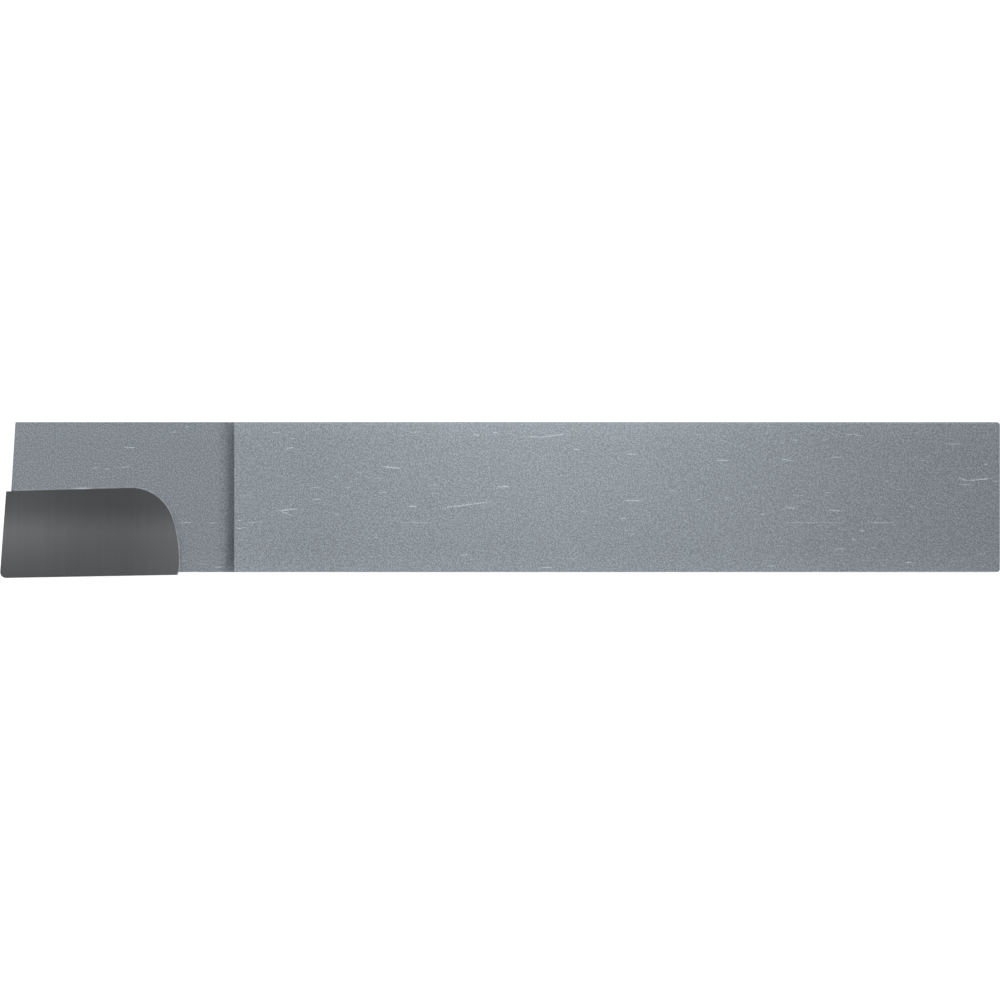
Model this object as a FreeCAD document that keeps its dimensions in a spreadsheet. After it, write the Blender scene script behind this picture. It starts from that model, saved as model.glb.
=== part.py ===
import FreeCAD, Part
import math
import os
import Sketcher

# Carbide tipped tool bit: a right-hand square-shank turning tool with a brazed-on tip.
# Lengths are millimetres and angles are degrees.
# X runs along the shank with the nose towards -X, the side cutting edge is on the -Y side,
# and +Z is up. The origin lies on the base face, on the shank's centreline and midway
# along the whole tool.

SIZES = (
    # The bar.
    ("overall_length", 63.5, "nose to rear end face"),
    ("shank_width", 9.525, "across the bar"),
    ("shank_height", 9.525, "base face to top face, also the height of the cutting edge"),
    ("edge_break", 0.1, "radius along the bar's long edges and round its rear end"),
    ("rear_corner", 0.19, "radius of the two upright edges at the rear end"),
    # The lowered nose floor round the tip.
    ("nose_drop", 0.75, "depth of the nose floor below the top face"),
    ("tip_land", 3.53, "nose floor left between the tip and the step"),
    ("step_lean", 40.0, "lean of the step's wall from upright, back towards its top"),
    ("step_fillet", 0.8, "concave radius at the foot of the step"),
    ("step_break", 0.02, "bevel along the top of the step"),
    # The clearance faces of the bar below the tip.
    ("end_setback", 0.38, "nose to the bar's outer front corner, at the nose floor"),
    ("end_slant", 3.49, "plan angle of the bar's front end"),
    ("end_clearance", 10.0, "lean of the bar's front end from upright"),
    ("side_clearance", 10.0, "lean of the facet below the side cutting edge"),
    ("runout_radius", 8.0, "round that the milling cutter leaves behind that facet"),
    # The tip's blank, laid in a seat that slopes down across the tool.
    ("side_rake", 7.0, "slope of the tip's top face, down towards +Y"),
    ("tip_thickness", 2.381, "square to the top face"),
    ("tip_length", 11.33, "nose to the rearmost point of the tip"),
    ("tip_width", 5.535, "outer line to inner edge at the nose, along the slope"),
    ("inner_slant", 1.53, "angle of the tip's inner edge to the shank"),
    ("corner_radius", 2.76, "inner rear corner of the tip"),
    ("heel_radius", 8.64, "long curve of the tip's rear"),
    ("heel_rise", 1.23, "outer line to the rearmost point, along the slope"),
    # The ground flanks of the tip.
    ("side_overhang", 0.375, "nose beyond the side of the bar"),
    ("nose_radius", 0.397, "round between the two flanks"),
    ("tip_end_slant", 3.23, "plan angle of the end flank"),
    ("tip_side_slant", 1.03, "plan angle of the side flank"),
    ("end_relief", 7.0, "lean of the end flank from upright"),
    ("side_relief", 7.0, "lean of the side flank from upright"),
    ("edge_hone", 0.08, "bevel along the two cutting edges and round the nose"),
    # The braze.
    ("braze_gap", 0.1, "thickness of the braze under and beside the tip"),
)

# Places that several pieces share. The outer line runs along the tool through the nose.
NOSE_X = "(-Sizes.overall_length / 2)"
OUTER_LINE_Y = "(-Sizes.shank_width / 2 - Sizes.side_overhang)"
NOSE_CENTRE_X = "(-Sizes.overall_length / 2 + Sizes.nose_radius)"
NOSE_CENTRE_Y = "(-Sizes.shank_width / 2 - Sizes.side_overhang + Sizes.nose_radius)"
NOSE_FLOOR_Z = "(Sizes.shank_height - Sizes.nose_drop)"
TIP_REAR_X = "(-Sizes.overall_length / 2 + Sizes.tip_length)"
STEP_X = "(-Sizes.overall_length / 2 + Sizes.tip_length + Sizes.tip_land)"

PAST = 1.0  # how far a cutting profile or a raw blank reaches past the finished faces
AHEAD_X = "(-Sizes.overall_length / 2 - %g)" % PAST
ABOVE_Z = "(Sizes.shank_height + %g)" % PAST
BELOW_Z = "(-%g)" % PAST
TOLERANCE = 1e-4  # how closely a point has to lie on a plane to count as on it

ACROSS = FreeCAD.Vector(1, 0, 0)
UPWARDS = FreeCAD.Vector(0, 1, 0)
SQUARE_TO_SKETCH = FreeCAD.Vector(0, 0, 1)
START, END, CENTRE = 1, 2, 3

doc = FreeCAD.newDocument("tool_bit")
sheet = doc.addObject("Spreadsheet::Sheet", "Sizes")


def fill_sheet():
    """Write each driving size beside its name and its meaning."""
    for row, (alias, size, meaning) in enumerate(SIZES, start=1):
        sheet.set("A%d" % row, alias)
        sheet.set("B%d" % row, str(size))
        sheet.set("C%d" % row, meaning)
        sheet.setAlias("B%d" % row, alias)
    doc.recompute()


def amount(expression):
    """The present value of an expression, for a sketch's first drawing."""
    return float(sheet.evalExpression(expression))


def sketch_point(across, up):
    return FreeCAD.Vector(amount(across), amount(up), 0)


def new_body(name):
    body = doc.addObject("PartDesign::Body", name)
    body.Label = name
    body.Placement = FreeCAD.Placement()
    return body


def new_sketch(body, name, role, base=("0", "0", "0"), turn_about=ACROSS, angle="0"):
    """A sketch on one of the body's origin planes, moved by base and then turned."""
    sketch = body.newObject("Sketcher::SketchObject", name)
    plane = [item for item in body.Origin.OriginFeatures if item.Role == role][0]
    sketch.AttachmentSupport = [(plane, "")]
    sketch.MapMode = "FlatFace"
    turned = FreeCAD.Rotation(turn_about, amount(angle) or 1.0)
    sketch.AttachmentOffset = FreeCAD.Placement(FreeCAD.Vector(), turned)
    sketch.setExpression("AttachmentOffset.Rotation.Angle", angle)
    for axis, distance in zip("xyz", base):
        sketch.setExpression("AttachmentOffset.Base." + axis, distance)
    return sketch


def draw_outline(sketch, pieces, tangent_joints=()):
    """Join lines and arcs end to start round a closed outline."""
    for piece in pieces:
        sketch.addGeometry(piece)
    for index in range(len(pieces)):
        kind = "Tangent" if index in tangent_joints else "Coincident"
        following = (index + 1) % len(pieces)
        sketch.addConstraint(Sketcher.Constraint(kind, index, END, following, START))


def hold(sketch, constraint, name, expression):
    """Add a constraint and tie its value to an expression."""
    index = sketch.addConstraint(constraint)
    sketch.renameConstraint(index, name)
    sketch.setExpression("Constraints." + name, expression)


def hold_across(sketch, name, piece, end, expression):
    distance = amount(expression)
    hold(sketch, Sketcher.Constraint("DistanceX", -1, START, piece, end, distance), name, expression)


def hold_up(sketch, name, piece, end, expression):
    distance = amount(expression)
    hold(sketch, Sketcher.Constraint("DistanceY", -1, START, piece, end, distance), name, expression)


def hold_radius(sketch, name, piece, expression):
    hold(sketch, Sketcher.Constraint("Radius", piece, amount(expression)), name, expression)


def hold_angle(sketch, name, piece, expression):
    angle = math.radians(amount(expression))
    hold(sketch, Sketcher.Constraint("Angle", piece, angle), name, expression)


def draw_polygon(sketch, corners):
    """A closed outline of straight lines, each corner a pair of expressions."""
    points = [sketch_point(across, up) for across, up in corners]
    ends = points[1:] + points[:1]
    draw_outline(sketch, [Part.LineSegment(*ends_of_line) for ends_of_line in zip(points, ends)])
    for index, (across, up) in enumerate(corners):
        hold_across(sketch, "across_%d" % index, index, START, across)
        hold_up(sketch, "up_%d" % index, index, START, up)


def pad(body, name, sketch, length, downwards=False):
    feature = body.newObject("PartDesign::Pad", name)
    feature.Profile = sketch
    feature.Reversed = downwards
    feature.setExpression("Length", length)
    doc.recompute()


def cut(body, name, sketch, depth=None, height=None):
    """Cut to a depth below the sketch and a height above it, or right through both ways."""
    before = body.Shape.Volume
    feature = body.newObject("PartDesign::Pocket", name)
    feature.Profile = sketch
    if depth is None:
        feature.SideType = "Symmetric"
        feature.Type = "ThroughAll"
    else:
        feature.SideType = "Two sides"
        feature.setExpression("Length", depth)
        feature.setExpression("Length2", height)
    doc.recompute()
    if body.Shape.Volume >= before:
        raise RuntimeError(name + " removes nothing")


def dress_edges(body, kind, name, chosen, size_name, size):
    """Round or bevel the edges of the body whose two ends pass the test chosen."""
    base = body.Tip
    picked = []
    for index, edge in enumerate(base.Shape.Edges, start=1):
        if chosen(edge.Vertexes[0].Point, edge.Vertexes[-1].Point):
            picked.append("Edge%d" % index)
    if not picked:
        raise RuntimeError(name + " finds no edge")
    feature = body.newObject("PartDesign::" + kind, name)
    feature.Base = (base, picked)
    feature.setExpression(size_name, size)
    doc.recompute()


def make_bar(body):
    """The cold-drawn square bar, with its long edges and its rear end broken."""
    front, rear = NOSE_X, "Sizes.overall_length / 2"
    outer, inner = "-Sizes.shank_width / 2", "Sizes.shank_width / 2"
    outline = new_sketch(body, "bar_outline", "XY_Plane")
    draw_polygon(outline, ((front, outer), (rear, outer), (rear, inner), (front, inner)))
    pad(body, "bar", outline, "Sizes.shank_height")
    front_x, rear_x = amount(front), amount(rear)
    half_height = amount("Sizes.shank_height / 2")

    def is_rear_corner(first, last):
        at_rear = min(first.x, last.x) > rear_x - TOLERANCE
        return at_rear and abs(first.z - last.z) > half_height

    def is_long_or_rear_edge(first, last):
        at_front = max(first.x, last.x) < front_x + TOLERANCE
        return not at_front and abs(first.z - last.z) < half_height

    dress_edges(body, "Fillet", "rear_corners", is_rear_corner, "Radius", "Sizes.rear_corner")
    dress_edges(body, "Fillet", "broken_edges", is_long_or_rear_edge, "Radius", "Sizes.edge_break")


def mill_nose_floor(body):
    """Lower the top round the tip, up to a leaning step with a concave foot and a bevelled top."""
    rise = "(Sizes.nose_drop - Sizes.step_break)"
    lean = "Sizes.step_lean"
    fillet = "min(Sizes.step_fillet; 0.9 * %s / (1 - sin(%s)))" % (rise, lean)
    run_back = "(%s * sin(%s) + %s * (1 - sin(%s))) / cos(%s)" % (rise, lean, fillet, lean, lean)
    foot_x = "%s - %s" % (STEP_X, run_back)
    foot_z = "%s + %s" % (NOSE_FLOOR_Z, fillet)
    wall_foot_x = "%s + %s * cos(%s)" % (foot_x, fillet, lean)
    wall_foot_z = "%s - %s * sin(%s)" % (foot_z, fillet, lean)
    bevel_x = "%s + Sizes.step_break" % STEP_X
    bevel_z = "Sizes.shank_height - Sizes.step_break"
    floor_front = sketch_point(AHEAD_X, NOSE_FLOOR_Z)
    floor_rear = sketch_point(foot_x, NOSE_FLOOR_Z)
    fillet_circle = Part.Circle(sketch_point(foot_x, foot_z), SQUARE_TO_SKETCH, amount(fillet))
    wall_foot = sketch_point(wall_foot_x, wall_foot_z)
    wall_top = sketch_point(STEP_X, bevel_z)
    top_edge = sketch_point(bevel_x, "Sizes.shank_height")
    above_rear = sketch_point(bevel_x, ABOVE_Z)
    above_front = sketch_point(AHEAD_X, ABOVE_Z)
    sketch = new_sketch(body, body.Name + "_floor_profile", "XZ_Plane")
    pieces = (
        Part.LineSegment(floor_front, floor_rear),
        Part.ArcOfCircle(fillet_circle, -math.pi / 2, -math.radians(amount(lean))),
        Part.LineSegment(wall_foot, wall_top),
        Part.LineSegment(wall_top, top_edge),
        Part.LineSegment(top_edge, above_rear),
        Part.LineSegment(above_rear, above_front),
        Part.LineSegment(above_front, floor_front),
    )
    floor, foot, wall, bevel, riser, lid, front = range(len(pieces))
    draw_outline(sketch, pieces, tangent_joints=(floor, foot))
    for level in (floor, lid):
        sketch.addConstraint(Sketcher.Constraint("Horizontal", level))
    for upright in (riser, front):
        sketch.addConstraint(Sketcher.Constraint("Vertical", upright))
    hold_radius(sketch, "step_fillet", foot, fillet)
    hold_angle(sketch, "step_lean", wall, "90 - " + lean)
    hold_across(sketch, "ahead", floor, START, AHEAD_X)
    hold_up(sketch, "nose_floor", floor, START, NOSE_FLOOR_Z)
    hold_across(sketch, "step", wall, END, STEP_X)
    hold_up(sketch, "bevel_foot", wall, END, bevel_z)
    hold_across(sketch, "bevel_back", bevel, END, bevel_x)
    hold_up(sketch, "top_face", bevel, END, "Sizes.shank_height")
    hold_up(sketch, "above", riser, END, ABOVE_Z)
    cut(body, body.Name + "_nose_floor", sketch)


def cut_flank(body, name, role, base, slant, lean, level, outwards="0"):
    """Cut a flank that is slanted in plan and leans inwards going down.

    The sketch stands upright and square to the edge that the flank makes, and base puts its
    origin there. At the given level the flank passes the origin at the distance outwards."""
    sketch = new_sketch(body, name + "_profile", role, base, UPWARDS, slant)
    flank_low = "(%s - %s) * tan(%s) - %s" % (level, BELOW_Z, lean, outwards)
    flank_high = "(%s - %s) * tan(%s) - %s" % (level, ABOVE_Z, lean, outwards)
    far = "-Sizes.shank_width"
    draw_polygon(sketch, ((flank_low, BELOW_Z), (flank_high, ABOVE_Z), (far, ABOVE_Z), (far, BELOW_Z)))
    cut(body, name, sketch)


def mill_end_clearance(body):
    """The front end of the bar, slanted in plan and leaning back below the tip."""
    corner = (NOSE_X + " + Sizes.end_setback", "0", "Sizes.shank_width / 2")
    name = body.Name + "_end_clearance"
    cut_flank(body, name, "XZ_Plane", corner, "-Sizes.end_slant", "Sizes.end_clearance", NOSE_FLOOR_Z)


def mill_side_clearance(body):
    """The facet below the side cutting edge, with the round that the cutter leaves behind it.

    The sketch lies square to the facet's slope, and its X axis is the facet's top line, where
    the facet leaves the side of the bar at the nose floor."""
    base = ("0", "-Sizes.shank_width / 2", NOSE_FLOOR_Z)
    name = body.Name + "_side_clearance"
    sketch = new_sketch(body, name + "_profile", "XY_Plane", base, ACROSS, "Sizes.side_clearance")
    outside = "-Sizes.runout_radius"
    round_end = TIP_REAR_X + " + Sizes.runout_radius"
    runout_centre = sketch_point(TIP_REAR_X, outside)
    runout_circle = Part.Circle(runout_centre, SQUARE_TO_SKETCH, amount("Sizes.runout_radius"))
    facet_rear = sketch_point(TIP_REAR_X, "0")
    facet_front = sketch_point(AHEAD_X, "0")
    outside_front = sketch_point(AHEAD_X, outside)
    pieces = (
        Part.ArcOfCircle(runout_circle, 0, math.pi / 2),
        Part.LineSegment(facet_rear, facet_front),
        Part.LineSegment(facet_front, outside_front),
        Part.LineSegment(outside_front, sketch_point(round_end, outside)),
    )
    runout, facet, front, outer = range(len(pieces))
    draw_outline(sketch, pieces, tangent_joints=(runout,))
    sketch.addConstraint(Sketcher.Constraint("PointOnObject", facet, START, -1))
    sketch.addConstraint(Sketcher.Constraint("Horizontal", facet))
    sketch.addConstraint(Sketcher.Constraint("Vertical", front))
    sketch.addConstraint(Sketcher.Constraint("Horizontal", outer))
    hold_radius(sketch, "runout_radius", runout, "Sizes.runout_radius")
    hold_across(sketch, "facet_rear", facet, START, TIP_REAR_X)
    hold_across(sketch, "ahead", front, START, AHEAD_X)
    hold_up(sketch, "outside", outer, END, outside)
    cut(body, name, sketch)


def draw_tip_outline(body, name, gap="0"):
    """The tip's outline in the plane of its top face, grown by a gap where the seat backs it.

    The sketch slopes down towards +Y with the side rake. Its X is the tool's X and its Y runs
    down the slope from the outer line. The inner edge runs into the corner radius, and that
    into the long curve of the heel. The front and outer sides stand past the finished tip."""
    base = ("0", OUTER_LINE_Y, "Sizes.shank_height")
    sketch = new_sketch(body, name, "XY_Plane", base, ACROSS, "-Sizes.side_rake")
    front_drop = "(%g * sin(Sizes.inner_slant))" % PAST
    inner_front_y = "Sizes.tip_width + (%s - %s) / cos(Sizes.inner_slant)" % (gap, front_drop)
    outer_y = "-%g" % PAST
    corner_radius = "Sizes.corner_radius + " + gap
    heel_radius = "Sizes.heel_radius + " + gap
    heel_x = TIP_REAR_X + " - Sizes.heel_radius"
    heel_y = "Sizes.heel_rise"

    # The corner's centre lies a radius inside the inner edge, and as far from the heel's
    # centre as the two radii differ.
    slant = math.radians(amount("Sizes.inner_slant"))
    along = FreeCAD.Vector(math.cos(slant), math.sin(slant), 0)
    outwards = FreeCAD.Vector(-math.sin(slant), math.cos(slant), 0)
    corner_r = amount(corner_radius)
    heel_r = amount(heel_radius)
    inner_front = sketch_point(AHEAD_X, inner_front_y)
    heel = sketch_point(heel_x, heel_y)
    from_front = heel - (inner_front - outwards * corner_r)
    apart = math.sqrt((heel_r - corner_r) ** 2 - from_front.dot(outwards) ** 2)
    corner = inner_front - outwards * corner_r + along * (from_front.dot(along) + apart)
    joint = math.atan2(corner.y - heel.y, corner.x - heel.x)
    heel_end = math.asin((amount(outer_y) - heel.y) / heel_r)
    outer_rear = heel + FreeCAD.Vector(math.cos(heel_end), math.sin(heel_end), 0) * heel_r
    outer_front = sketch_point(AHEAD_X, outer_y)

    heel_circle = Part.Circle(heel, SQUARE_TO_SKETCH, heel_r)
    corner_circle = Part.Circle(corner, SQUARE_TO_SKETCH, corner_r)
    pieces = (
        Part.LineSegment(corner + outwards * corner_r, inner_front),
        Part.LineSegment(inner_front, outer_front),
        Part.LineSegment(outer_front, outer_rear),
        Part.ArcOfCircle(heel_circle, heel_end, joint),
        Part.ArcOfCircle(corner_circle, joint, math.pi / 2 + slant),
    )
    inner_side, front_side, outer_side, heel_arc, corner_arc = range(len(pieces))
    draw_outline(sketch, pieces, tangent_joints=(heel_arc, corner_arc))
    sketch.addConstraint(Sketcher.Constraint("Vertical", front_side))
    sketch.addConstraint(Sketcher.Constraint("Horizontal", outer_side))
    hold_radius(sketch, "heel_radius", heel_arc, heel_radius)
    hold_radius(sketch, "corner_radius", corner_arc, corner_radius)
    hold_angle(sketch, "inner_slant", inner_side, "Sizes.inner_slant + 180")
    hold_across(sketch, "ahead", inner_side, END, AHEAD_X)
    hold_up(sketch, "inner_front", inner_side, END, inner_front_y)
    hold_up(sketch, "outer", outer_side, START, outer_y)
    hold_across(sketch, "heel_centre_x", heel_arc, CENTRE, heel_x)
    hold_up(sketch, "heel_centre_y", heel_arc, CENTRE, heel_y)
    return sketch


def make_shank():
    """The bar, cut back at the nose, with the sloping seat for the tip."""
    body = new_body("shank")
    make_bar(body)
    mill_nose_floor(body)
    mill_end_clearance(body)
    mill_side_clearance(body)
    seat = draw_tip_outline(body, "seat_outline", "Sizes.braze_gap")
    cut(body, "tip_seat", seat, "Sizes.tip_thickness + Sizes.braze_gap", "Sizes.nose_drop")
    return body


def make_tip():
    """The tip: a flat blank with a rounded inner rear corner, ground to its two flanks."""
    body = new_body("carbide_tip")
    pad(body, "blank", draw_tip_outline(body, "blank_outline"), "Sizes.tip_thickness", downwards=True)
    edge_height = "(Sizes.shank_height - Sizes.edge_hone)"
    end_base = (NOSE_CENTRE_X, "0", "-" + NOSE_CENTRE_Y)
    end_angles = ("-Sizes.tip_end_slant", "Sizes.end_relief")
    cut_flank(body, "end_flank", "XZ_Plane", end_base, *end_angles, edge_height, "Sizes.nose_radius")
    side_base = (NOSE_CENTRE_Y, "0", NOSE_CENTRE_X)
    side_angles = ("Sizes.tip_side_slant", "Sizes.side_relief")
    cut_flank(body, "side_flank", "YZ_Plane", side_base, *side_angles, edge_height, "Sizes.nose_radius")
    nose = FreeCAD.Vector(amount(NOSE_X), amount(OUTER_LINE_Y), amount("Sizes.shank_height"))
    reach = amount("Sizes.tip_thickness") / 2
    slope = math.radians(amount("Sizes.side_rake"))
    rake_normal = FreeCAD.Vector(0, math.sin(slope), math.cos(slope))

    def is_near_nose(point):
        return max(point.x - nose.x, point.y - nose.y) < reach

    def is_nose_edge(first, last):
        return is_near_nose(first) and is_near_nose(last)

    def is_cutting_edge(first, last):
        on_rake_face = all(abs((point - nose).dot(rake_normal)) < TOLERANCE for point in (first, last))
        return on_rake_face and (is_near_nose(first) or is_near_nose(last))

    dress_edges(body, "Fillet", "nose_round", is_nose_edge, "Radius", "Sizes.nose_radius")
    dress_edges(body, "Chamfer", "edge_hone", is_cutting_edge, "Size", "Sizes.edge_hone")
    return body


def make_braze():
    """The braze that fills the gap between the tip and its seat, trimmed flush with the bar."""
    body = new_body("braze_joint")
    seat = draw_tip_outline(body, "braze_outline", "Sizes.braze_gap")
    pad(body, "braze_block", seat, "Sizes.tip_thickness + Sizes.braze_gap", downwards=True)
    blank = draw_tip_outline(body, "tip_space_outline")
    cut(body, "tip_space", blank, "Sizes.tip_thickness", "Sizes.nose_drop")
    mill_nose_floor(body)
    mill_end_clearance(body)
    mill_side_clearance(body)
    return body


def write_pieces(pieces):
    """Check the whole document, then write each piece to its own file."""
    doc.recompute()
    for item in doc.Objects:
        if "Invalid" in item.State or "Error" in item.State:
            raise RuntimeError("%s is %s" % (item.Name, item.State))
    for piece in pieces:
        shape = piece.Shape
        if shape.isNull() or not shape.isValid() or len(shape.Solids) != 1:
            raise RuntimeError(piece.Label + " is not one valid solid")
    os.makedirs("parts", exist_ok=True)
    for piece in pieces:
        piece.Shape.exportStep("parts/%s.step" % piece.Label)
        print("%s: %.3f mm3" % (piece.Label, piece.Shape.Volume))


fill_sheet()
write_pieces([make_shank(), make_braze(), make_tip()])
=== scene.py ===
import math

import bmesh
import bpy
from mathutils import Matrix, Vector, noise


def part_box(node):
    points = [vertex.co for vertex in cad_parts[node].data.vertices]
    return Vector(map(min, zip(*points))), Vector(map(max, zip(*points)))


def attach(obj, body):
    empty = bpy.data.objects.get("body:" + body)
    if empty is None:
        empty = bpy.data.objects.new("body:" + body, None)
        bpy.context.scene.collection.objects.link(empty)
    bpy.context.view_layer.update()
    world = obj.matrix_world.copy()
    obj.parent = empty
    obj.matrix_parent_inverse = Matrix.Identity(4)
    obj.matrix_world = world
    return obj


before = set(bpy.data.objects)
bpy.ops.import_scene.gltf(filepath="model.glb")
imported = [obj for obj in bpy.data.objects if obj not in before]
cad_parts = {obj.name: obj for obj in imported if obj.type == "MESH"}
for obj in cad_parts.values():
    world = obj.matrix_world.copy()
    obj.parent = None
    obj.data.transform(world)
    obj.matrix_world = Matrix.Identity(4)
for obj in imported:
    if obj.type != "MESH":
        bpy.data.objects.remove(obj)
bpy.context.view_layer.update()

bl_info = {
    "name": "Carbide Tipped Tool Bit",
    "version": (1, 0, 0),
    "blender": (4, 5, 0),
    "location": "View3D > Sidebar > Tool Bit",
    "description": "Finishes the solids of a brazed turning tool and sets its stage",
    "category": "Object",
}

MM = 0.001

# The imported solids, before anything is added: their box, and the faces they give a place to.
TOP_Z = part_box("shank")[1].z
TIP_REAR_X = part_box("carbide_tip")[1].x

# The nose floor, so far below the top, and the edge of its step, so far behind the tip.
NOSE_FLOOR_Z = TOP_Z - 0.75 * MM
STEP_X = TIP_REAR_X + 3.54 * MM

# The tip's outline in the plane of its sloping top face, as the solids have it: distances
# along the tool, and across the slope from the outer line.
SIDE_RAKE = math.radians(7)
INNER_SLANT = math.radians(1.53)
OUTER_LINE_Y = -5.1375 * MM
TIP_FRONT_X = -31.74 * MM
TIP_WIDTH = 5.535 * MM
CORNER_RADIUS = 2.76 * MM
HEEL_RADIUS = 8.64 * MM
HEEL_RISE = 1.23 * MM

# The bead on the nose floor: where it starts and how far across it ends, the steps of its
# straight run, corner and heel, and how uneven it is, in waves of this length.
TOP_SEAM_START_X = -31.04 * MM
TOP_SEAM_END = 0.5 * MM
TOP_SEAM_STEPS = (60, 32, 16)
BEAD_UNEVENNESS = 0.01 * MM
BEAD_WAVE = 0.9 * MM

# The seam under the tip, on the shank's side and front, and the section of a fillet along it:
# out from the steel and up. All in mm. The fillet is laid in steps and tapers at its ends.
FLANK_SEAM = ((-20.4, -4.44, 6.94), (-31.03, -4.44, 6.94), (-30.64, 0.18, 6.37))
FLANK_SECTION = ((-0.09, 0.12), (0.17, 0.12), (0.1, 0.04), (0.06, -0.06), (0.03, -0.16),
                 (-0.01, -0.24), (-0.055, -0.28), (-0.09, -0.28))
FLANK_STEP = 0.2 * MM
FLANK_TAPER = 0.3

# Scratches in the top, as the photograph shows them: the middle's x and y in mm, length in
# mm, turn in degrees and brightness.
TOP_SCRATCHES = (
    (-25.71, 1.85, 0.4, 0, 0.4),
    (-24.98, 1.78, 0.35, 0, 0.4),
    (-23.81, 1.91, 0.8, 3, 0.35),
    (-23.52, 3.15, 0.75, 0, 0.6),
    (-20.70, 4.13, 0.3, 0, 0.4),
    (-20.06, -4.06, 0.3, 0, 0.45),
    (-19.97, -1.62, 0.9, 0, 0.45),
    (-19.90, 4.45, 0.35, 15, 0.4),
    (-18.28, -1.65, 0.5, 0, 0.35),
    (-17.87, -4.44, 0.55, 0, 0.45),
    (-16.54, -1.49, 0.35, 0, 0.5),
    (-16.54, -2.00, 0.35, 0, 0.5),
    (-15.71, -1.60, 0.55, 0, 0.4),
    (-15.23, -1.60, 0.4, 0, 0.35),
    (-15.23, -1.84, 0.35, 0, 0.3),
    (-14.10, 4.11, 0.65, 3, 0.3),
    (-13.93, 1.35, 0.65, 0, 0.25),
    (-13.62, -1.01, 0.85, -24, 0.5),
    (-13.42, -0.80, 1.35, 6, 0.6),
    (-13.35, 3.10, 0.45, 18, 0.5),
    (-13.14, 3.72, 0.3, 0, 0.4),
    (-11.65, -0.13, 0.5, 0, 0.5),
    (-10.40, 1.31, 0.35, 0, 0.35),
    (-10.40, -1.09, 0.35, 0, 0.45),
    (-9.66, 0.61, 0.35, 0, 0.3),
    (-8.39, -2.57, 0.3, 0, 0.35),
    (-7.83, -2.57, 0.25, 0, 0.4),
    (-7.57, 1.22, 0.4, 0, 0.35),
    (-7.43, 0.30, 0.45, 0, 0.4),
    (-6.87, 1.88, 1.2, -6, 0.65),
    (-5.57, -0.59, 0.65, 0, 0.5),
    (-5.35, -1.63, 2.3, 0, 0.25),
    (-4.15, 0.25, 0.6, 0, 0.25),
    (-4.12, 0.78, 0.55, 0, 0.35),
    (-2.25, -3.66, 0.55, 10, 0.45),
    (-2.10, -0.49, 3.2, 7, 0.5),
    (-1.50, 3.94, 0.4, 0, 0.4),
    (-0.33, 4.11, 0.35, 0, 0.4),
    (0.25, 0.68, 0.75, 0, 0.55),
    (2.15, 3.82, 1.0, 0, 0.25),
    (2.99, -4.47, 0.6, 0, 0.45),
    (3.30, 3.90, 1.9, 7, 0.4),
    (4.86, 3.03, 0.45, 0, 0.4),
    (7.82, -1.35, 0.5, 0, 0.45),
    (8.34, 2.72, 0.65, 0, 0.45),
    (8.44, -2.35, 0.25, 0, 0.4),
    (8.45, -0.22, 1.2, 0, 0.5),
    (10.96, 0.41, 0.5, 0, 0.25),
    (12.62, -0.15, 0.2, 0, 0.5),
    (14.16, 2.33, 0.8, 0, 0.65),
    (14.47, -0.06, 0.35, 0, 0.3),
    (16.63, -1.09, 0.25, 0, 0.45),
    (17.28, -4.38, 0.5, 0, 0.45),
    (17.90, 3.42, 0.25, 0, 0.4),
    (18.17, 2.37, 0.7, -8, 0.55),
    (18.45, -0.69, 0.8, 0, 0.4),
    (18.72, 3.62, 0.4, 0, 0.4),
    (19.82, -1.62, 3.8, 0, 0.28),
    (20.27, -1.81, 0.35, 0, 0.3),
    (20.87, 0.28, 0.5, 0, 0.3),
    (21.31, -0.86, 0.85, -4, 0.6),
    (21.40, 2.53, 0.7, 0, 0.35),
    (21.59, -3.29, 0.7, 0, 0.35),
    (22.15, 3.97, 0.5, 0, 0.4),
    (22.46, -2.71, 0.25, 0, 0.35),
    (22.74, 3.93, 0.5, 0, 0.35),
    (22.97, -2.14, 0.35, 0, 0.4),
    (24.27, -0.46, 0.3, 0, 0.4),
    (24.28, -1.62, 1.8, 0, 0.35),
    (24.61, 1.03, 0.3, 0, 0.35),
    (25.32, 0.48, 0.4, 0, 0.35),
    (25.92, -4.15, 0.4, 0, 0.35),
    (26.17, -0.59, 0.5, -8, 0.45),
    (26.77, 2.32, 0.4, 0, 0.3),
    (28.80, 3.37, 1.1, 0, 0.4),
    (29.43, 1.13, 0.7, -17, 0.6),
    (29.64, 0.79, 0.9, 0, 0.45),
    (30.35, 1.11, 1.75, 5, 0.75),
    (30.87, 2.08, 0.3, 0, 0.5),
    (31.47, 1.00, 0.35, 0, 0.45),
)

# Each of them is a thin ellipsoid that cuts the top: half its length, as a share of the
# scratch's, its reach up and down, and how far in from its skin it is at full brightness.
SCRATCH_HALF = 0.6
SCRATCH_REACH = 5 * MM
SCRATCH_SKIN = 0.4

# The sparse fainter scratches: the size of the cell that holds one, the share of the cells that
# hold none, and the brightest one.
FAINT_CELL = (0.9 * MM, 0.08 * MM, 0.08 * MM)
EMPTY_CELLS = 0.97
FAINT_BRIGHTNESS = 0.35

# The steel's grain and its faint clouds. The grain's noise is turned so that the rows of its
# cells don't run along the bar, and its darkest values are held at one tone.
GRAIN_TURN = math.radians(31)
GRAIN_RANGE = (0.34, 0.8)
GRAIN_TONE = (0.78, 1.41)
GRAIN_ROUGHNESS = (0.41, 0.49)
CLOUD_WIDTH = 4 * MM
CLOUD_TONE = (0.985, 1.015)

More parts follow.
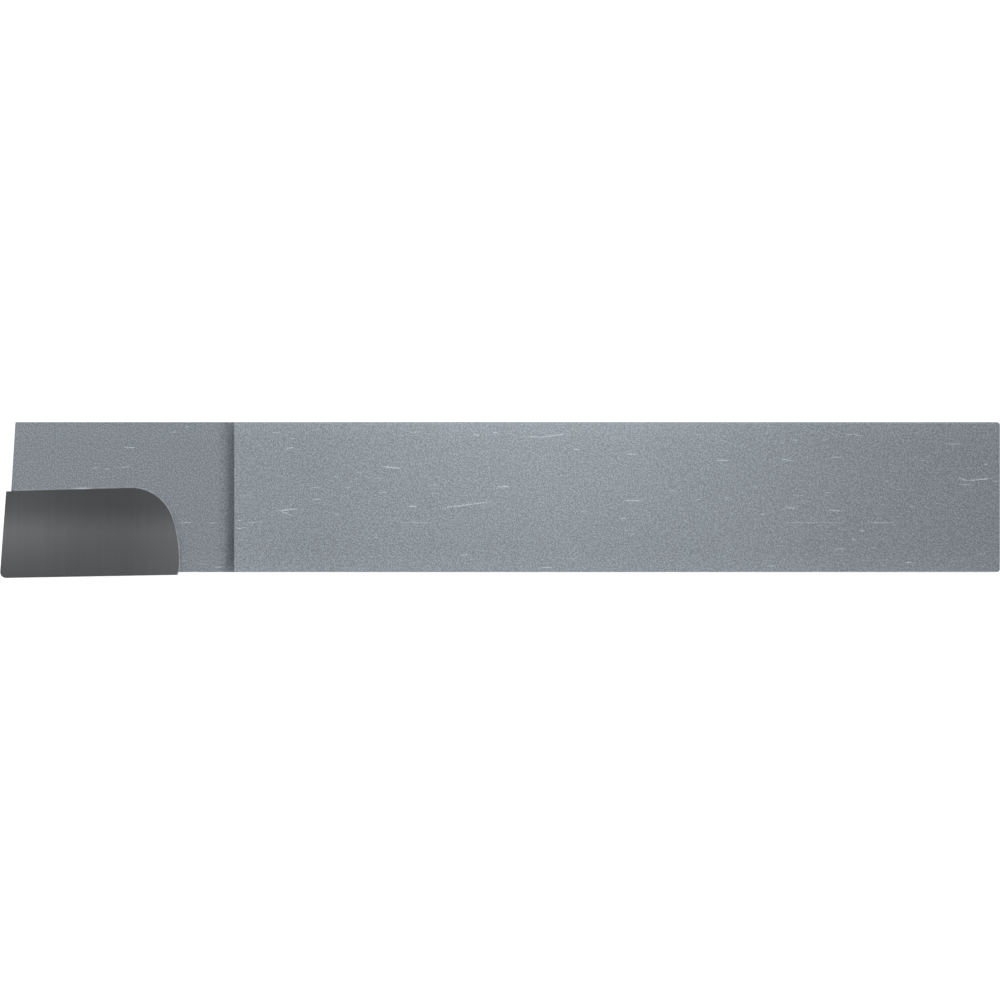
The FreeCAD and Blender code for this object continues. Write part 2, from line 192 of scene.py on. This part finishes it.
# Bands where a tone changes: from and to in mm, and the tone at both. The steel's run out to the
# bar's long edges, a painted highlight; along the nose floor, darker towards the step; back from
# the step's edge, a painted highlight; and up its wall to the top, painted shading. The wall's
# starts where its fillet has risen this high, and the nose floor's is only in its skin.
EDGE_PAINTED_LIGHT_BAND = (-1.4, 0), (1.0, 1.07)
NOSE_FLOOR_BAND = (-30, -20), (1.0, 0.93)
NOSE_FLOOR_SKIN = (-0.1, -0.02)
BEHIND_STEP_PAINTED_HIGHLIGHT_BAND = (0, 5), (1.06, 1.0)
STEP_WALL_PAINTED_SHADING_BAND = (-0.43, -0.03), (1.35, 0.95)
FILLET_RISE = 0.13 * MM
EDGE_BLEND = 0.01 * MM

# The carbide's painted reflection: its run over the rake face to its middle, on to the cutting
# edge, and to the heel, all in the face's skin. A painted highlight at the nose is lighter, and
# the flanks are darker.
INNER_RAKE_PAINTED_REFLECTION_BAND = (-0.4, -2.4), (0.66, 1.0)
OUTER_RAKE_PAINTED_REFLECTION_BAND = (-2.3, -5.1), (1.0, 0.83)
HEEL_RAKE_PAINTED_REFLECTION_BAND = (-24, -20.2), (1.0, 1.2)
RAKE_SKIN_BAND = (-0.3, -0.05), (0.0, 1.0)
NOSE_PAINTED_HIGHLIGHT = (-33 * MM, -1.6 * MM, TOP_Z), (9 * MM, 4.6 * MM, 9 * MM)
NOSE_PAINTED_HIGHLIGHT_TONE = (1.0, 1.5)
FLANK_TONE = 0.9

# The grinding lines on the carbide, and the ripples in the braze.
LINE_STRETCH = (1, 0.04, 0.04)
LINE_TONE = (0.97, 1.03)
LINE_RELIEF = 0.5
LINE_DEPTH = 0.002 * MM
RIPPLE_WIDTH = 0.3 * MM
RIPPLE_TONE = (0.85, 1.15)
RIPPLE_DEPTH = 0.01 * MM

# The braze is dulled on top, with a painted glint at a spot beside the tip and painted light
# along the heel.
TOP_BRAZE_BAND = (-0.3, -0.05), (0.0, 1.0)
HEEL_PAINTED_LIGHT_BAND = (-2.1, -2.8), (0.0, 0.33)
PAINTED_GLINT_SPOT = (-26.45 * MM, 0.53 * MM, NOSE_FLOOR_Z), (0.8 * MM, 0.15 * MM, 0.15 * MM)

# The values of a noise that a tone is spread over.
WIDE_RANGE = (0.25, 0.75)
MIDDLE_RANGE = (0.3, 0.7)

# The background shows as 1 in the picture and lights the object with this much. The paper on
# the floor has this white, and glows this much in the picture.
WORLD_LIGHT = 0.45
PAPER_WHITE = 0.8
PAPER_GLOW = 0.59

# Where the middle of the picture lies across the tool.
PICTURE_MIDDLE_Y = -0.184 * MM

# The lamps: place in mm, size in mm, and brightness, where 1 is as bright as the white
# background. The first two light the top, and the softboxes the faces seen from the side.
# From this far on along the tool, in mm, a lamp is turned to the tool's middle.
FAR_LAMP = 100
LAMPS = (
    ("top_lamp", (2.5, 16.6, 55), (17, 26), 3.5),
    ("nose_lamp", (-35, 0, 45), (114, 46), 0.29),
    ("back_softbox", (0, 220, 150), (200, 120), 2.5),
    ("front_softbox", (0, -220, 150), (200, 120), 2.5),
    ("left_softbox", (-220, 0, 150), (200, 120), 0.2),
    ("right_softbox", (220, 0, 150), (200, 120), 0.5),
)


def linear(hex_colour):
    """Turns an sRGB colour such as "8F969C" into linear red, green, blue and alpha."""
    parts = [int(hex_colour[i:i + 2], 16) / 255 for i in (0, 2, 4)]
    return (*[c / 12.92 if c <= 0.04045 else ((c + 0.055) / 1.055) ** 2.4 for c in parts], 1.0)


def add_node(tree, kind, inputs=None, **settings):
    """Adds a node. inputs gives a socket, by name or number, a value or another socket."""
    node = tree.nodes.new(kind)
    for name, value in settings.items():
        setattr(node, name, value)
    for key, value in (inputs or {}).items():
        if isinstance(value, bpy.types.NodeSocket):
            tree.links.new(value, node.inputs[key])
        else:
            node.inputs[key].default_value = value
    return node


def new_material(name):
    """Returns a material and its empty node tree."""
    material = bpy.data.materials.new(name)
    material.use_nodes = True
    material.node_tree.nodes.clear()
    return material, material.node_tree


def ramp(tree, value, start, end, low=0.0, high=1.0, **settings):
    """Returns a socket that goes from low to high while the value goes from start to end."""
    return add_node(tree, "ShaderNodeMapRange", {
        "Value": value, "From Min": start, "From Max": end, "To Min": low, "To Max": high},
        **settings).outputs[0]


def band_tone(tree, place, band, start=0.0, **settings):
    """Returns a band's tone at a place along one axis, counted from start."""
    span, tones = band
    return ramp(tree, place, *[start + end * MM for end in span], *tones, **settings)


def product(tree, tone, *others):
    """Returns a socket with the product of these."""
    for other in others:
        both = add_node(tree, "ShaderNodeMath", {0: tone, 1: other}, operation="MULTIPLY")
        tone = both.outputs[0]
    return tone


def larger(tree, first, second):
    """Returns a socket with the larger of two."""
    return add_node(tree, "ShaderNodeMath", {0: first, 1: second}, operation="MAXIMUM").outputs[0]


def mixed(tree, factor, first, second):
    """Returns a colour socket that goes from the first to the second with the factor."""
    return add_node(tree, "ShaderNodeMix", {"Factor": factor, 6: first, 7: second},
                    data_type="RGBA").outputs[2]


def noise_at(tree, coordinates, width, detail):
    """Returns a socket with a noise whose cells are as wide as this."""
    return add_node(tree, "ShaderNodeTexNoise", {
        "Vector": coordinates, "Scale": 1 / width, "Detail": detail}).outputs["Fac"]


def spot(tree, coordinates, middle, radii, turn=0.0):
    """Returns a socket that is 1 in the middle of an ellipsoid and falls to 0 at its radii."""
    place = add_node(tree, "ShaderNodeMapping", {
        "Vector": coordinates, "Location": middle, "Rotation": (0, 0, turn), "Scale": radii},
        vector_type="TEXTURE")
    return add_node(tree, "ShaderNodeTexGradient", {"Vector": place.outputs["Vector"]},
                    gradient_type="SPHERICAL").outputs["Fac"]


def metal_surface(tree, colour, tone, roughness, relief, depth, strength=1.0):
    """Ends the tree in a metal of this colour times the tone, with a relief of this depth."""
    base = add_node(tree, "ShaderNodeVectorMath", {0: colour, "Scale": tone}, operation="SCALE")
    bump = add_node(tree, "ShaderNodeBump", {
        "Strength": strength, "Distance": depth, "Height": relief})
    shader = add_node(tree, "ShaderNodeBsdfPrincipled", {
        "Base Color": base.outputs[0], "Metallic": 1.0, "Roughness": roughness,
        "Normal": bump.outputs["Normal"]})
    add_node(tree, "ShaderNodeOutputMaterial", {"Surface": shader.outputs["BSDF"]})


class BlastedSteelFinish(bpy.types.PropertyGroup):
    """What a user would change on the shank's finish."""

    colour: bpy.props.FloatVectorProperty(
        name="Colour", description="Colour of the blasted steel", size=4, subtype="COLOR",
        min=0, max=1, default=linear("72787D"))
    scratch_colour: bpy.props.FloatVectorProperty(
        name="Scratch Colour", description="Colour of bare steel in a scratch", size=4,
        subtype="COLOR", min=0, max=1, default=linear("A5ADB3"))
    grain_width: bpy.props.FloatProperty(
        name="Grain Width", description="Width of one pit of the grit blasting",
        unit="LENGTH", default=0.082 * MM)
    grain_depth: bpy.props.FloatProperty(
        name="Grain Depth", description="Depth of one pit of the grit blasting",
        unit="LENGTH", default=0.004 * MM)
    scratch_width: bpy.props.FloatProperty(
        name="Scratch Width", description="Width of a scratch", unit="LENGTH",
        default=0.09 * MM)


class GroundCarbideFinish(bpy.types.PropertyGroup):
    """What a user would change on the tip's finish."""

    colour: bpy.props.FloatVectorProperty(
        name="Colour", description="Colour of the ground carbide", size=4, subtype="COLOR",
        min=0, max=1, default=linear("4D4E4F"))
    line_spacing: bpy.props.FloatProperty(
        name="Line Spacing", description="Spacing of the grinding lines",
        unit="LENGTH", default=0.25 * MM)
    roughness: bpy.props.FloatProperty(
        name="Roughness", description="Roughness of the ground carbide", min=0, max=1,
        default=0.38)


class BrazeFinish(bpy.types.PropertyGroup):
    """What a user would change on the braze."""

    colour: bpy.props.FloatVectorProperty(
        name="Colour", description="Colour of the braze alloy", size=4, subtype="COLOR",
        min=0, max=1, default=linear("99978C"))
    dulled_colour: bpy.props.FloatVectorProperty(
        name="Dulled Colour", description="Colour of the bead on top, blasted with the steel",
        size=4, subtype="COLOR", min=0, max=1, default=linear("6C7176"))
    # This colour is a painted highlight: a glint beside the tip and light along the heel.
    painted_highlight_colour: bpy.props.FloatVectorProperty(
        name="Rubbed Colour", description="Colour of the short length of bead rubbed bright",
        size=4, subtype="COLOR", min=0, max=1, default=linear("8E9397"))
    bead_width: bpy.props.FloatProperty(
        name="Bead Width", description="Width of the bead along the seam", unit="LENGTH",
        default=0.12 * MM)
    bead_height: bpy.props.FloatProperty(
        name="Bead Height", description="Height of the bead above the nose floor", unit="LENGTH",
        default=0.03 * MM)
    roughness: bpy.props.FloatProperty(
        name="Roughness", description="Roughness of the braze alloy", min=0, max=1, default=0.44)


class StageSettings(bpy.types.PropertyGroup):
    """What a user would change on the stage."""

    lens: bpy.props.FloatProperty(
        name="Lens", description="Focal length of the camera in millimetres", default=800)
    frame_width: bpy.props.FloatProperty(
        name="Frame Width", description="Width of the picture at the tool's top",
        unit="LENGTH", default=63.5 * MM)
    floor_side: bpy.props.FloatProperty(
        name="Floor Side", description="Side of the square floor", unit="LENGTH", default=3.0)


def scratch_marks(tree, coordinates, finish):
    """Returns a socket that is above 0 in a scratch: the placed ones in the top, and sparse
    fainter ones along every face."""
    cells = add_node(tree, "ShaderNodeMapping", {
        "Vector": coordinates, "Scale": [1 / side for side in FAINT_CELL]})
    cell = add_node(tree, "ShaderNodeTexVoronoi", {"Vector": cells.outputs["Vector"], "Scale": 1})
    middle = ramp(tree, cell.outputs["Distance"], 0.5, 0.1)
    chance = add_node(tree, "ShaderNodeSeparateColor", {"Color": cell.outputs["Color"]})
    chosen = ramp(tree, chance.outputs["Red"], EMPTY_CELLS, 1.0, 0.0, FAINT_BRIGHTNESS)
    marks = product(tree, middle, chosen)
    for x, y, length, turn, brightness in TOP_SCRATCHES:
        radii = (length * SCRATCH_HALF * MM, finish.scratch_width / 2, SCRATCH_REACH)
        shape = spot(tree, coordinates, (x * MM, y * MM, TOP_Z), radii, math.radians(turn))
        marks = larger(tree, marks, ramp(tree, shape, 0.0, SCRATCH_SKIN, 0.0, brightness))
    return add_node(tree, "ShaderNodeClamp", {"Value": marks}).outputs[0]


def painted_edge_light(tree, coordinates):
    """Returns the tone of the bar's long edges, painted a little lighter as a painted highlight.
    """
    # Near a long edge of the square bar both distances from its middle are large.
    from_middle = add_node(tree, "ShaderNodeVectorMath", {
        0: coordinates, 1: (0, 0, TOP_Z / 2)}, operation="SUBTRACT")
    distances = add_node(tree, "ShaderNodeVectorMath", {0: from_middle.outputs[0]},
                         operation="ABSOLUTE")
    sides = add_node(tree, "ShaderNodeSeparateXYZ", {"Vector": distances.outputs[0]})
    smaller = add_node(tree, "ShaderNodeMath", {
        0: sides.outputs["Y"], 1: sides.outputs["Z"]}, operation="MINIMUM")
    return band_tone(tree, smaller.outputs[0], EDGE_PAINTED_LIGHT_BAND, TOP_Z / 2)


def painted_step_shading(tree, coordinates):
    """Returns the tone at the step: the nose floor, which darkens a little towards the step, the
    step's wall, with painted shading that is lightest where its fillet ends and darker up to its
    top edge, and the top just behind the step's edge, with a painted highlight."""
    place = add_node(tree, "ShaderNodeSeparateXYZ", {"Vector": coordinates}).outputs
    along_floor = band_tone(tree, place["X"], NOSE_FLOOR_BAND)
    floor_band = NOSE_FLOOR_SKIN, (1.0, along_floor)
    floor = band_tone(tree, place["Z"], floor_band, NOSE_FLOOR_Z)
    wall = band_tone(tree, place["Z"], STEP_WALL_PAINTED_SHADING_BAND, TOP_Z)
    lightest = TOP_Z + STEP_WALL_PAINTED_SHADING_BAND[0][0] * MM
    front = ramp(tree, place["Z"], NOSE_FLOOR_Z + FILLET_RISE, lightest, floor, wall)
    behind_edge = band_tone(tree, place["X"], BEHIND_STEP_PAINTED_HIGHLIGHT_BAND, STEP_X)
    back = ramp(tree, place["Z"], NOSE_FLOOR_Z, TOP_Z, 1.0, behind_edge)
    return ramp(tree, place["X"], STEP_X, STEP_X + EDGE_BLEND, front, back)


def blasted_steel(finish):
    """Plain carbon steel, grit-blasted: an even grey with a fine matt grain that takes the
    shine off, and bright scratches from handling."""
    material, tree = new_material("grit_blasted_steel")
    coordinates = add_node(tree, "ShaderNodeTexCoord").outputs["Object"]
    turned = add_node(tree, "ShaderNodeMapping", {
        "Vector": coordinates, "Rotation": (0, 0, GRAIN_TURN)})
    pits = noise_at(tree, turned.outputs["Vector"], finish.grain_width, 0.0)
    clouds = noise_at(tree, coordinates, CLOUD_WIDTH, 2.0)
    # The tone holds painted light: a painted highlight on the long edges, and painted shading and
    # a painted highlight at the step.
    tone = product(
        tree,
        ramp(tree, pits, *GRAIN_RANGE, *GRAIN_TONE),
        ramp(tree, clouds, *WIDE_RANGE, *CLOUD_TONE),
        painted_edge_light(tree, coordinates),
        painted_step_shading(tree, coordinates))
    marks = scratch_marks(tree, coordinates, finish)
    colour = mixed(tree, marks, finish.colour, finish.scratch_colour)
    roughness = ramp(tree, pits, *WIDE_RANGE, *GRAIN_ROUGHNESS)
    metal_surface(tree, colour, tone, roughness, pits, finish.grain_depth)
    return material


def braze_alloy(finish):
    """Silver braze alloy: a pale, faintly yellow satin line under the tip, finely rippled where
    it froze. On top it is blasted with the shank and dulled to the steel's grey, with a painted
    glint beside the tip's middle and painted light along the heel."""
    material, tree = new_material("silver_braze_alloy")
    coordinates = add_node(tree, "ShaderNodeTexCoord").outputs["Object"]
    place = add_node(tree, "ShaderNodeSeparateXYZ", {"Vector": coordinates}).outputs
    ripples = noise_at(tree, coordinates, RIPPLE_WIDTH, 3.0)
    tone = ramp(tree, ripples, *MIDDLE_RANGE, *RIPPLE_TONE)
    # A painted highlight: a glint at a spot beside the tip, and painted light along the heel.
    glinting = larger(tree, spot(tree, coordinates, *PAINTED_GLINT_SPOT),
                    band_tone(tree, place["Y"], HEEL_PAINTED_LIGHT_BAND))
    blasted = mixed(tree, glinting, finish.dulled_colour, finish.painted_highlight_colour)
    on_top = band_tone(tree, place["Z"], TOP_BRAZE_BAND, NOSE_FLOOR_Z)
    colour = mixed(tree, on_top, finish.colour, blasted)
    metal_surface(tree, colour, tone, finish.roughness, ripples, RIPPLE_DEPTH)
    return material


def height_over_rake_face(tree, coordinates):
    """Returns a point's height over the plane of the rake face, which slopes across the tip."""
    sloping = add_node(tree, "ShaderNodeMapping", {
        "Vector": coordinates, "Location": (0, OUTER_LINE_Y, TOP_Z),
        "Rotation": (-SIDE_RAKE, 0, 0)}, vector_type="TEXTURE")
    place = add_node(tree, "ShaderNodeSeparateXYZ", {"Vector": sloping.outputs["Vector"]})
    return place.outputs["Z"]


def ground_carbide(finish):
    """Cemented tungsten carbide, finely ground: a dark neutral grey with a satin sheen and faint
    lines across the tip. On the rake face a painted reflection: a lighter band along the middle,
    darker towards the inner edge and the cutting edge, lighter towards the heel and at the nose."""
    material, tree = new_material("ground_cemented_carbide")
    coordinates = add_node(tree, "ShaderNodeTexCoord").outputs["Object"]
    place = add_node(tree, "ShaderNodeSeparateXYZ", {"Vector": coordinates}).outputs
    smooth = {"interpolation_type": "SMOOTHSTEP"}
    # Painted reflection on the rake face, with a painted highlight at the nose.
    painted_rake_reflection = product(
        tree,
        band_tone(tree, place["Y"], INNER_RAKE_PAINTED_REFLECTION_BAND, **smooth),
        band_tone(tree, place["Y"], OUTER_RAKE_PAINTED_REFLECTION_BAND),
        band_tone(tree, place["X"], HEEL_RAKE_PAINTED_REFLECTION_BAND, **smooth),
        ramp(tree, spot(tree, coordinates, *NOSE_PAINTED_HIGHLIGHT), 0.0, 1.0, *NOSE_PAINTED_HIGHLIGHT_TONE, **smooth))
    on_rake_face = band_tone(tree, height_over_rake_face(tree, coordinates), RAKE_SKIN_BAND)
    level = ramp(tree, on_rake_face, 0.0, 1.0, FLANK_TONE, painted_rake_reflection)
    stretched = add_node(tree, "ShaderNodeMapping", {
        "Vector": coordinates, "Scale": LINE_STRETCH})
    lines = noise_at(tree, stretched.outputs["Vector"], finish.line_spacing, 3.0)
    tone = product(tree, level, ramp(tree, lines, *MIDDLE_RANGE, *LINE_TONE))
    metal_surface(tree, finish.colour[:3], tone, finish.roughness, lines, LINE_DEPTH, LINE_RELIEF)
    return material


def material_for(name, make, finish):
    """Returns the named material, made once."""
    return bpy.data.materials.get(name) or make(finish)


def dress(node, material):
    """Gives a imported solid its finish."""
    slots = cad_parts[node].material_slots
    if not slots:
        raise RuntimeError(f"{node} has no material slot")
    for slot in slots:
        slot.material = material


def lay_bead(bead, corners, runs):
    """Sweeps the face with these corners along the runs, each a setting of the spin operator,
    or a pair of points for a straight run that is mitred to the next. Returns both end faces."""
    first = end = bead.faces.new(corners)
    for number, run in enumerate(runs):
        straight = isinstance(run, tuple)
        if straight:
            along = run[1] - run[0]
            steps = round(along.length / FLANK_STEP)
            run = {"cent": (0, 0, 0), "dvec": along / steps, "angle": 0, "steps": steps}
        swept = bmesh.ops.spin(bead, geom=[end], axis=(0, 0, 1), use_merge=False, **run)
        if number:
            bead.faces.remove(end)
        end = next(item for item in swept["geom_last"] if isinstance(item, bmesh.types.BMFace))
        if straight and number + 1 < len(runs):
            turn, following = runs[number + 1]
            mitre = along.normalized() + (following - turn).normalized()
            for vert in end.verts:
                vert.co += along * (turn - vert.co).dot(mitre) / along.dot(mitre)
    return first, end


def lay_top_bead(bead, width, height):
    """Lays a hollow fillet along the seam between the tip and the nose floor, round the tip's
    corner and its heel."""
    along = Vector((math.cos(INNER_SLANT), math.sin(INNER_SLANT), 0))
    outwards = Vector((-math.sin(INNER_SLANT), math.cos(INNER_SLANT), 0))
    widened = (TOP_SEAM_START_X - TIP_FRONT_X) * math.tan(INNER_SLANT)
    start = Vector((TOP_SEAM_START_X, TIP_WIDTH + widened, 0))
    heel = Vector((TIP_REAR_X - HEEL_RADIUS, HEEL_RISE, 0))
    from_start = heel - (start - outwards * CORNER_RADIUS)
    apart = math.sqrt((HEEL_RADIUS - CORNER_RADIUS) ** 2 - from_start.dot(outwards) ** 2)
    straight = from_start.dot(along) + apart
    corner = start - outwards * CORNER_RADIUS + along * straight
    joint = math.atan2(corner.y - heel.y, corner.x - heel.x)
    heel_end = math.asin((TOP_SEAM_END - heel.y) / HEEL_RADIUS)
    straight_steps, corner_steps, heel_steps = TOP_SEAM_STEPS

    # Across the seam: out from the tip's side and up from the nose floor.
    section = ((-0.02 * MM, -0.02 * MM), (width * 1.05, -0.02 * MM), (width, 0.0),
               (width * 0.6, height * 0.35), (width * 0.25, height), (-0.02 * MM, height))
    corners = [bead.verts.new(start + outwards * out + Vector((0, 0, up))) for out, up in section]
    lay_bead(bead, corners, (
        {"cent": (0, 0, 0), "dvec": along * straight / straight_steps, "angle": 0,
         "steps": straight_steps},
        {"cent": corner, "dvec": (0, 0, 0), "angle": joint - math.pi / 2 - INNER_SLANT,
         "steps": corner_steps},
        {"cent": heel, "dvec": (0, 0, 0), "angle": heel_end - joint, "steps": heel_steps},
    ))
    down_the_slope = Matrix.Diagonal((1, 1 / math.cos(SIDE_RAKE), 1, 1))
    lift = TOP_Z - NOSE_FLOOR_Z
    seat = Matrix.Translation((0, OUTER_LINE_Y - lift * math.tan(SIDE_RAKE), NOSE_FLOOR_Z))
    bmesh.ops.transform(bead, matrix=seat @ down_the_slope, verts=bead.verts)


def lay_flank_bead(bead):
    """Lays a hollow fillet under the tip where it stands out over the shank, along its side and
    round the nose to its front. Both ends taper off."""
    seam = [Vector(place) * MM for place in FLANK_SEAM]
    corners = [bead.verts.new(seam[0] + Vector((0, -out, up)) * MM) for out, up in FLANK_SECTION]
    ends = lay_bead(bead, corners, tuple(zip(seam, seam[1:])))
    for end, place in zip(ends, (seam[0], seam[-1])):
        bmesh.ops.scale(bead, vec=(FLANK_TAPER,) * 3, space=Matrix.Translation(-place),
                        verts=end.verts)


def braze_bead(width, height):
    """Returns the mesh of the beads along the seam, both a little uneven."""
    bead = bmesh.new()
    lay_top_bead(bead, width, height)
    lay_flank_bead(bead)
    bmesh.ops.recalc_face_normals(bead, faces=bead.faces)
    for vert in bead.verts:
        vert.co += vert.normal * BEAD_UNEVENNESS * noise.noise(vert.co / BEAD_WAVE)
    for face in bead.faces:
        face.smooth = len(face.verts) == 4
    mesh = bpy.data.meshes.new("braze_bead")
    bead.to_mesh(mesh)
    bead.free()
    return mesh


def add_lamp(name, place, size, brightness):
    """Adds a rectangular lamp. It shines at the middle of the top face's width, square to the
    tool or, from far beyond its ends, along it."""
    light = bpy.data.lights.new(name, "AREA")
    light.shape = "RECTANGLE"
    light.size, light.size_y = (side * MM for side in size)
    light.energy = brightness * math.pi * light.size * light.size_y
    lamp = bpy.data.objects.new(name, light)
    lamp.location = Vector(place) * MM
    aim = Vector((lamp.location.x if abs(place[0]) < FAR_LAMP else 0, 0, TOP_Z))
    lamp.rotation_euler = (aim - lamp.location).to_track_quat("-Z", "Y").to_euler()
    lamp.visible_camera = False
    bpy.context.scene.collection.objects.link(lamp)


def background_shows(tree):
    """Returns a socket that is 1 where the picture, a reflection or glass shows what lies
    behind the object, and 0 where light from there falls on it."""
    path = add_node(tree, "ShaderNodeLightPath").outputs
    seen = larger(tree, path["Is Camera Ray"], path["Is Glossy Ray"])
    return larger(tree, seen, path["Is Transmission Ray"])


class TOOLBIT_OT_finish_shank(bpy.types.Operator):
    """Give the shank its grit-blasted finish"""

    bl_idname = "toolbit.finish_shank"
    bl_label = "Finish Shank"

    def execute(self, context):
        finish = context.scene.tool_bit_steel
        dress("shank", material_for("grit_blasted_steel", blasted_steel, finish))
        return {"FINISHED"}


class TOOLBIT_OT_finish_tip(bpy.types.Operator):
    """Give the carbide tip its ground finish"""

    bl_idname = "toolbit.finish_tip"
    bl_label = "Finish Carbide Tip"

    def execute(self, context):
        finish = context.scene.tool_bit_carbide
        dress("carbide_tip", material_for("ground_cemented_carbide", ground_carbide, finish))
        return {"FINISHED"}


class TOOLBIT_OT_finish_braze(bpy.types.Operator):
    """Give the braze joint its finish and lay the bead along its seam"""

    bl_idname = "toolbit.finish_braze"
    bl_label = "Finish Braze Joint"

    def execute(self, context):
        finish = context.scene.tool_bit_braze
        material = material_for("silver_braze_alloy", braze_alloy, finish)
        dress("braze_joint", material)
        mesh = braze_bead(finish.bead_width, finish.bead_height)
        mesh.materials.append(material)
        bead = bpy.data.objects.new("braze_bead", mesh)
        context.scene.collection.objects.link(bead)
        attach(bead, "root")
        return {"FINISHED"}


class TOOLBIT_OT_set_stage(bpy.types.Operator):
    """Set the floor, the lights and the camera"""

    bl_idname = "toolbit.set_stage"
    bl_label = "Set Stage"

    def execute(self, context):
        settings = context.scene.tool_bit_stage
        bpy.ops.mesh.primitive_plane_add(size=settings.floor_side, location=(0, 0, -0.01 * MM))
        floor = context.active_object
        floor.name = "floor"
        material, tree = new_material("white_paper")
        paper = add_node(tree, "ShaderNodeBsdfDiffuse", {"Color": (*(PAPER_WHITE,) * 3, 1)})
        level = product(tree, background_shows(tree), PAPER_GLOW)
        glow = add_node(tree, "ShaderNodeEmission", {"Strength": level})
        both = add_node(tree, "ShaderNodeAddShader", {
            0: paper.outputs["BSDF"], 1: glow.outputs["Emission"]})
        add_node(tree, "ShaderNodeOutputMaterial", {"Surface": both.outputs["Shader"]})
        floor.data.materials.append(material)

        world = bpy.data.worlds.new("white_studio")
        context.scene.world = world
        world.use_nodes = True
        tree = world.node_tree
        tree.nodes.clear()
        level = ramp(tree, background_shows(tree), 0.0, 1.0, WORLD_LIGHT, 1.0)
        background = add_node(tree, "ShaderNodeBackground", {
            "Color": (1, 1, 1, 1), "Strength": level})
        add_node(tree, "ShaderNodeOutputWorld", {"Surface": background.outputs["Background"]})

        for lamp in LAMPS:
            add_lamp(*lamp)

        camera = bpy.data.cameras.new("camera")
        camera.lens = settings.lens
        camera.sensor_width = 36
        camera.clip_end = 10
        viewer = bpy.data.objects.new("camera", camera)
        distance = settings.frame_width * camera.lens / camera.sensor_width
        viewer.location = (0, PICTURE_MIDDLE_Y, TOP_Z + distance)
        context.scene.collection.objects.link(viewer)
        context.scene.camera = viewer
        context.scene.view_settings.view_transform = "Standard"
        return {"FINISHED"}


class VIEW3D_PT_tool_bit(bpy.types.Panel):
    """Lists the steps that dress the tool bit"""

    bl_label = "Tool Bit"
    bl_idname = "VIEW3D_PT_tool_bit"
    bl_space_type = "VIEW_3D"
    bl_region_type = "UI"
    bl_category = "Tool Bit"

    def draw(self, context):
        for step in STEPS:
            self.layout.operator(step.bl_idname)


STEPS = (TOOLBIT_OT_finish_shank, TOOLBIT_OT_finish_tip, TOOLBIT_OT_finish_braze,
         TOOLBIT_OT_set_stage)
SETTINGS = {
    "tool_bit_steel": BlastedSteelFinish,
    "tool_bit_carbide": GroundCarbideFinish,
    "tool_bit_braze": BrazeFinish,
    "tool_bit_stage": StageSettings,
}
CLASSES = (*SETTINGS.values(), *STEPS, VIEW3D_PT_tool_bit)


def register():
    for cls in CLASSES:
        bpy.utils.register_class(cls)
    for name, group in SETTINGS.items():
        setattr(bpy.types.Scene, name, bpy.props.PointerProperty(type=group))


def unregister():
    for name in SETTINGS:
        delattr(bpy.types.Scene, name)
    for cls in reversed(CLASSES):
        bpy.utils.unregister_class(cls)


def main():
    register()
    bpy.ops.toolbit.finish_shank()
    bpy.ops.toolbit.finish_tip()
    bpy.ops.toolbit.finish_braze()
    bpy.ops.toolbit.set_stage()


if __name__ == "__main__":
    main()
